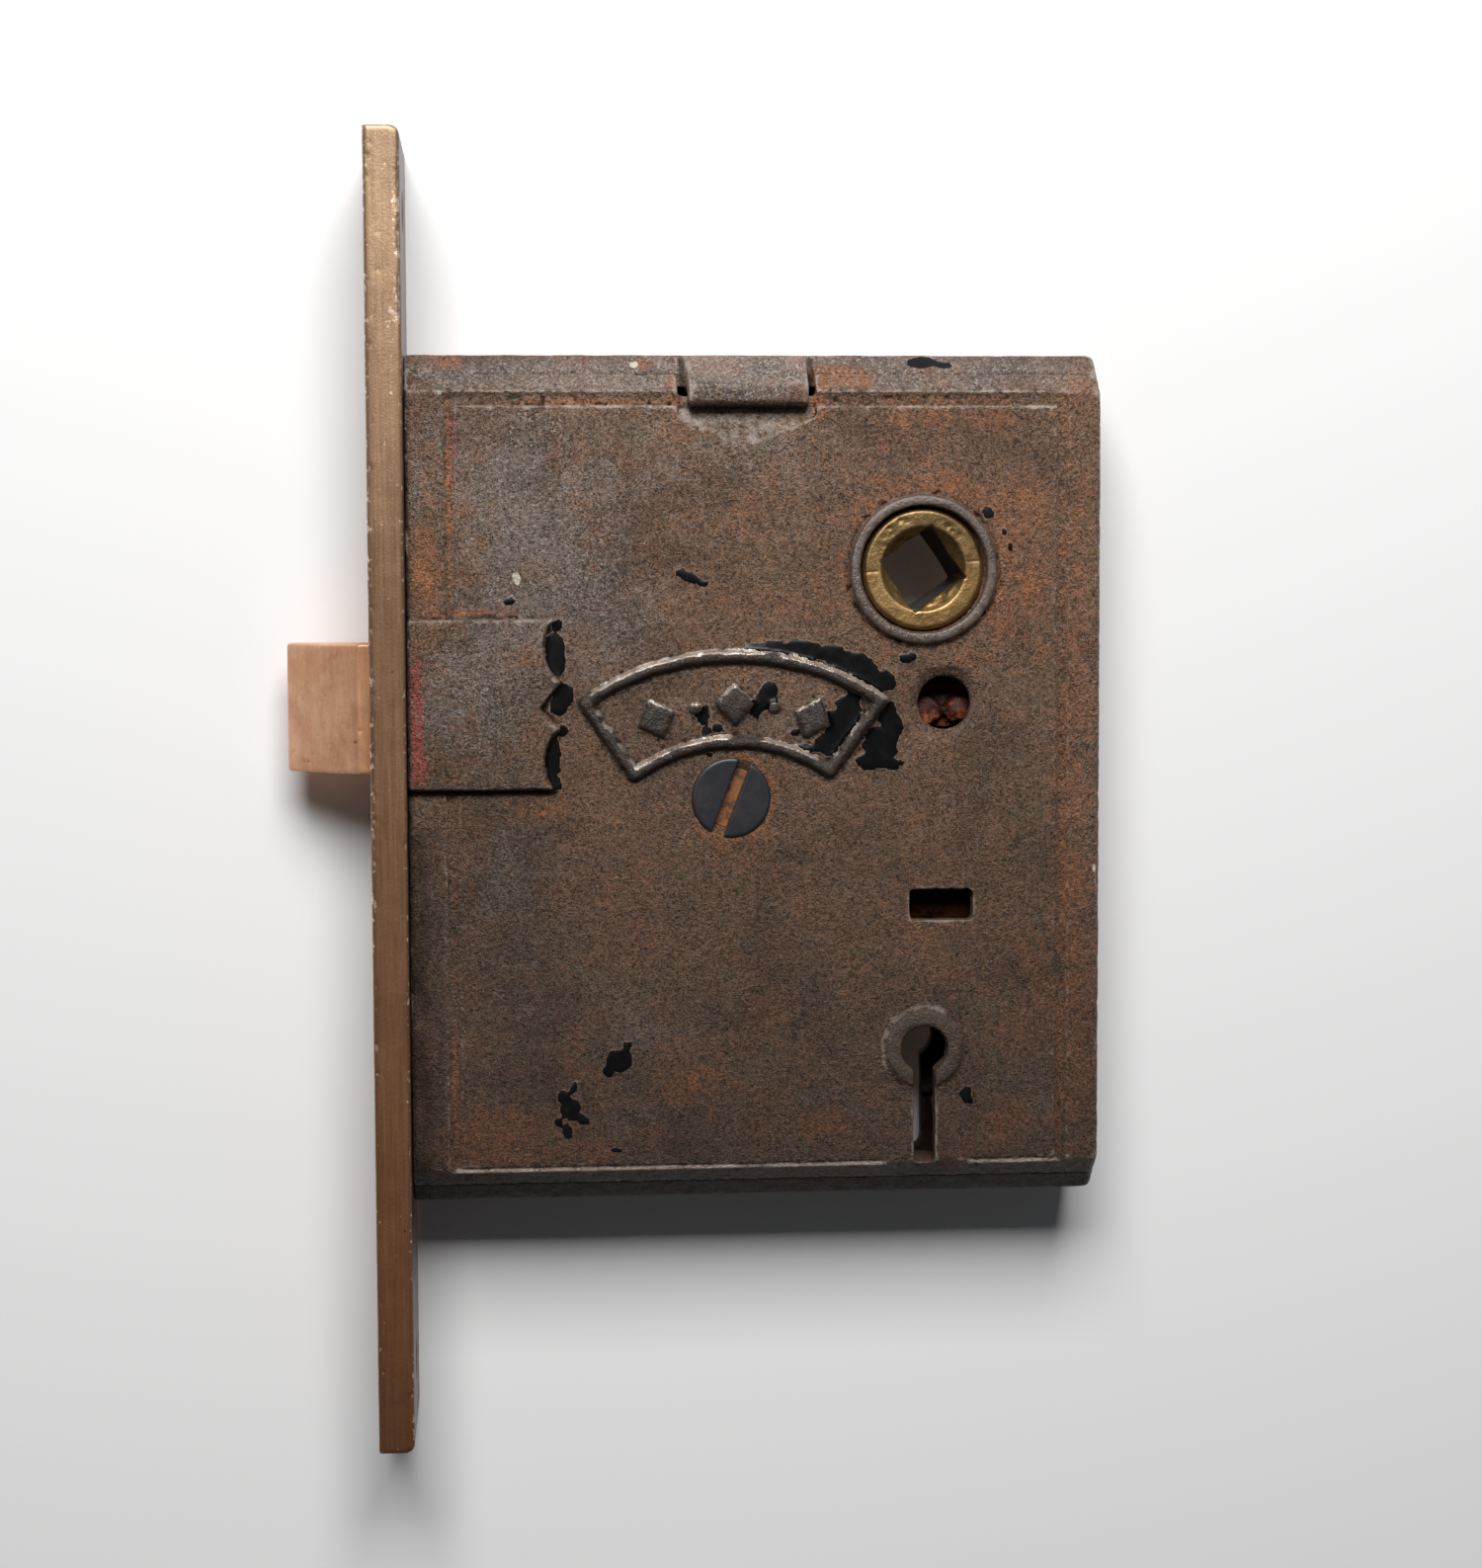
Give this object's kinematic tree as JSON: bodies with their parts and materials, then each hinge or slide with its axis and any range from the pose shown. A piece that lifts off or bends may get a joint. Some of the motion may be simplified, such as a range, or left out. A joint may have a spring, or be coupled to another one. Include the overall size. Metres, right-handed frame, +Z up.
{
  "type": "mortise lock",
  "caption": "Flat iron mortise lock case with bevelled edges, a long narrow face plate, sprung bevelled latch worked by a square-hole hub, key-thrown dead bolt and lever tumbler.",
  "frame": {"origin": "centre of the face plate's outer face, midway between its two wood-screw holes", "axes": "+Z up along the face plate, -X out of the door's edge, +X into the door, cover side faces -Y"},
  "size_m": [0.1074, 0.0222, 0.172],
  "materials": {
    "bronze_plate": "aged bronze, dull, nicked",
    "bronze_latch": "worn pinkish bronze",
    "brass_hub": "satin, turned",
    "cast_iron": "rusty, with remains of black japanning",
    "iron_inner": "rusty",
    "steel_dark": "dark, oxidised",
    "spring_steel": "dull"
  },
  "bodies": {
    "lock_case": {"face_plate": "bronze_plate", "face_plate_screws": "steel_dark", "case": "cast_iron", "cover": "cast_iron", "cover_screw": "steel_dark", "cover_dowels": "steel_dark", "dead_bolt_guide_post": "steel_dark", "tumbler_post": "steel_dark", "tumbler_spacer": "iron_inner", "tumbler_spring_stop": "steel_dark", "latch_spring": "spring_steel"},
    "latch": {"latch_head": "bronze_latch", "latch_tail": "iron_inner", "latch_rivets": "steel_dark"},
    "hub": {"hub": "brass_hub"},
    "dead_bolt": {"dead_bolt_head": "bronze_latch", "dead_bolt_tail": "iron_inner", "dead_bolt_rivets": "steel_dark"},
    "tumbler": {"tumbler": "iron_inner", "tumbler_stud": "steel_dark", "tumbler_spring": "spring_steel"}
  },
  "joints": [
    {"name": "hub_turn", "type": "hinge", "parent": "lock_case", "child": "hub", "pos_m": [0.0723, 0, 0.0294], "axis": [0, -1, 0], "range_deg": [0, 45]},
    {"name": "latch_draw", "type": "slide", "parent": "lock_case", "child": "latch", "axis": [1, 0, 0], "range_m": [0, 0.011], "deforming": ["latch_spring"]},
    {"name": "dead_bolt_throw", "type": "slide", "parent": "lock_case", "child": "dead_bolt", "axis": [-1, 0, 0], "range_m": [0, 0.012]},
    {"name": "tumbler_lift", "type": "hinge", "parent": "lock_case", "child": "tumbler", "pos_m": [0.058, 0, -0.0065], "axis": [0, -1, 0], "range_deg": [0, 9], "deforming": ["tumbler_spring"]}
  ],
  "couplings": [
    {"joint": "latch_draw", "follows": "hub_turn", "m_per_rad": 0.014}
  ]
}
